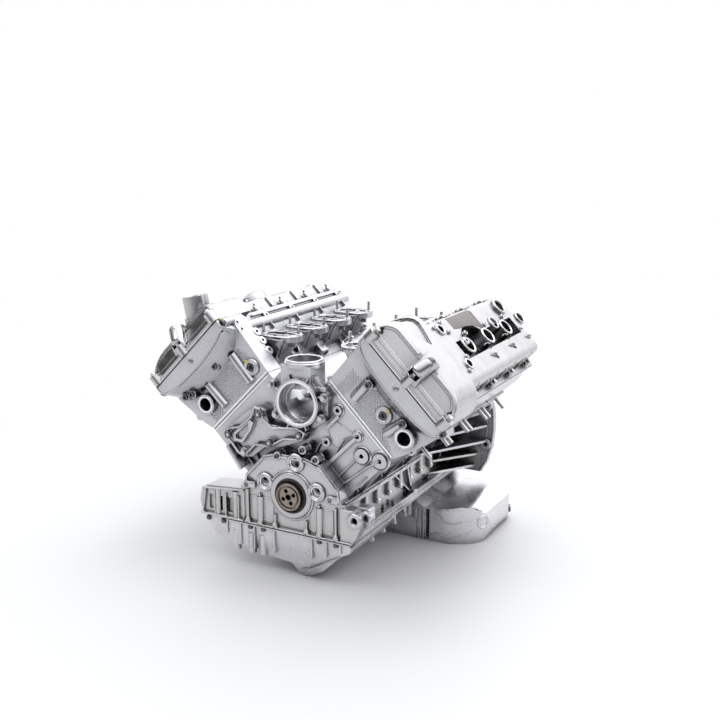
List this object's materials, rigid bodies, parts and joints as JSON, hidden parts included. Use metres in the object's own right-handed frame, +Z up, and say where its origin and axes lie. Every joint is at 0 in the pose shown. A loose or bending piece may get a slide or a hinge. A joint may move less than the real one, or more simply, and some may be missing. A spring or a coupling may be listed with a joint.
{
  "type": "v8 engine",
  "caption": "Long engine with two banks of cylinders at ninety degrees, overhead camshafts, valve covers, bedplate and sump; the crankshaft drives the camshafts.",
  "frame": {"origin": "centre of the bolt circle on the front face of the crank hub, on the crank axis", "axes": "+Y along the crank axis from the front to the rear, +Z up, +X to the right as seen from the front"},
  "size_m": [0.6548, 0.5185, 0.5236],
  "materials": {
    "cast_aluminium": "sand cast, matt",
    "cover_aluminium": "sand cast, matt, warm grey",
    "steel": "machined",
    "dark_steel": "dark, oiled",
    "gasket": "matt",
    "bearing_metal": "machined",
    "guide_plastic": "matt"
  },
  "bodies": {
    "engine": {"engine_block": "cast_aluminium", "bedplate": "cover_aluminium", "oil_sump": "cast_aluminium", "sump_gasket": "gasket", "oil_pickup": "steel", "oil_pump": "cast_aluminium", "coolant_cover": "cast_aluminium", "coolant_housing": "cast_aluminium", "cylinder_head_left": "cast_aluminium", "cylinder_head_right": "cast_aluminium", "head_gaskets": "gasket", "valve_cover_left": "cover_aluminium", "valve_cover_right": "cover_aluminium", "cover_gaskets": "gasket", "crank_front_seal": "gasket", "crank_rear_seal": "gasket", "main_bearings": "bearing_metal", "piston_1": "cast_aluminium", "piston_2": "cast_aluminium", "piston_3": "cast_aluminium", "piston_4": "cast_aluminium", "piston_5": "cast_aluminium", "piston_6": "cast_aluminium", "piston_7": "cast_aluminium", "piston_8": "cast_aluminium", "rod_1": "steel", "rod_2": "steel", "rod_3": "steel", "rod_4": "steel", "rod_5": "steel", "rod_6": "steel", "rod_7": "steel", "rod_8": "steel", "piston_pins": "steel", "timing_chain_left": "dark_steel", "timing_chain_right": "dark_steel", "chain_guides": "guide_plastic", "valves": "steel", "valve_springs": "steel", "tappets": "steel", "bedplate_bolts": "dark_steel", "cover_bolts": "steel", "sump_bolts": "dark_steel", "port_studs": "steel", "socket_plugs": "dark_steel", "head_bolts": "dark_steel", "valley_sensors": "steel", "drain_plug": "dark_steel", "front_bolts": "steel"},
    "crank": {"crankshaft": "steel", "crank_hub": "steel", "crank_sprocket": "steel"},
    "intake_right_cam": {"camshaft_intake_right": "steel", "phaser_intake_right": "steel"},
    "exhaust_right_cam": {"camshaft_exhaust_right": "steel", "phaser_exhaust_right": "steel"},
    "intake_left_cam": {"camshaft_intake_left": "steel", "phaser_intake_left": "steel"},
    "exhaust_left_cam": {"camshaft_exhaust_left": "steel", "phaser_exhaust_left": "steel"}
  },
  "joints": [
    {"name": "crank_spin", "type": "hinge", "parent": "engine", "child": "crank", "pos_m": [0, 0, 0], "axis": [0, 1, 0], "continuous": true, "deforming": ["rod_1", "rod_2", "rod_3", "rod_4", "rod_5", "rod_6", "rod_7", "rod_8"]},
    {"name": "intake_right_cam_spin", "type": "hinge", "parent": "engine", "child": "intake_right_cam", "pos_m": [0.19375, 0, 0.27011], "axis": [0, 1, 0], "continuous": true},
    {"name": "exhaust_right_cam_spin", "type": "hinge", "parent": "engine", "child": "exhaust_right_cam", "pos_m": [0.2588, 0, 0.20506], "axis": [0, 1, 0], "continuous": true},
    {"name": "intake_left_cam_spin", "type": "hinge", "parent": "engine", "child": "intake_left_cam", "pos_m": [-0.19375, 0, 0.27011], "axis": [0, 1, 0], "continuous": true},
    {"name": "exhaust_left_cam_spin", "type": "hinge", "parent": "engine", "child": "exhaust_left_cam", "pos_m": [-0.2588, 0, 0.20506], "axis": [0, 1, 0], "continuous": true}
  ],
  "couplings": [
    {"joint": "intake_right_cam_spin", "follows": "crank_spin", "ratio": 0.5},
    {"joint": "exhaust_right_cam_spin", "follows": "crank_spin", "ratio": 0.5},
    {"joint": "intake_left_cam_spin", "follows": "crank_spin", "ratio": 0.5},
    {"joint": "exhaust_left_cam_spin", "follows": "crank_spin", "ratio": 0.5}
  ]
}
